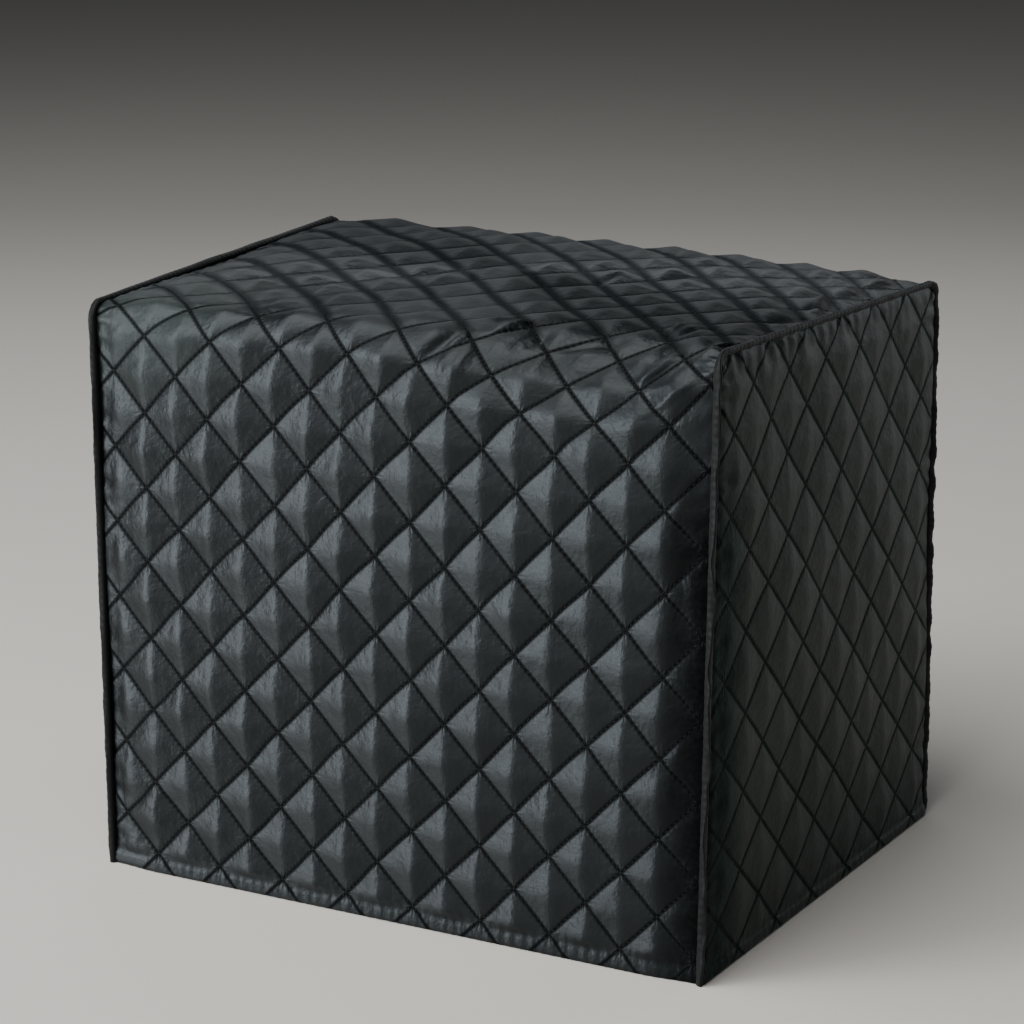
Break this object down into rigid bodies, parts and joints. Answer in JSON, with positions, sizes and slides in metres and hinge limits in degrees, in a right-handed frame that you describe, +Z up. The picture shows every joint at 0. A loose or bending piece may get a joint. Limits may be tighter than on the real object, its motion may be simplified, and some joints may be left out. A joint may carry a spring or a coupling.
{
  "type": "bread maker cover",
  "caption": "Box-shaped cover of diamond-quilted cloth, open at the bottom, that slips over a bread maker and stands on its hem.",
  "frame": {"origin": "middle of the cover's base, on the surface that its hem stands on", "axes": "+X along the width, to the right seen from the front; +Y from the quilted front towards the back; +Z up"},
  "size_m": [0.3939, 0.2938, 0.3342],
  "materials": {
    "quilted_satin": "black polyester satin with a soft sheen, quilted in diamonds over a thin wadding",
    "edge_binding": "the same black satin folded into a narrow soft binding"
  },
  "bodies": {
    "root": {"main_panel": "quilted_satin", "side_panel_right": "quilted_satin", "side_panel_left": "quilted_satin", "edge_binding_right": "edge_binding", "edge_binding_left": "edge_binding"}
  },
  "joints": []
}
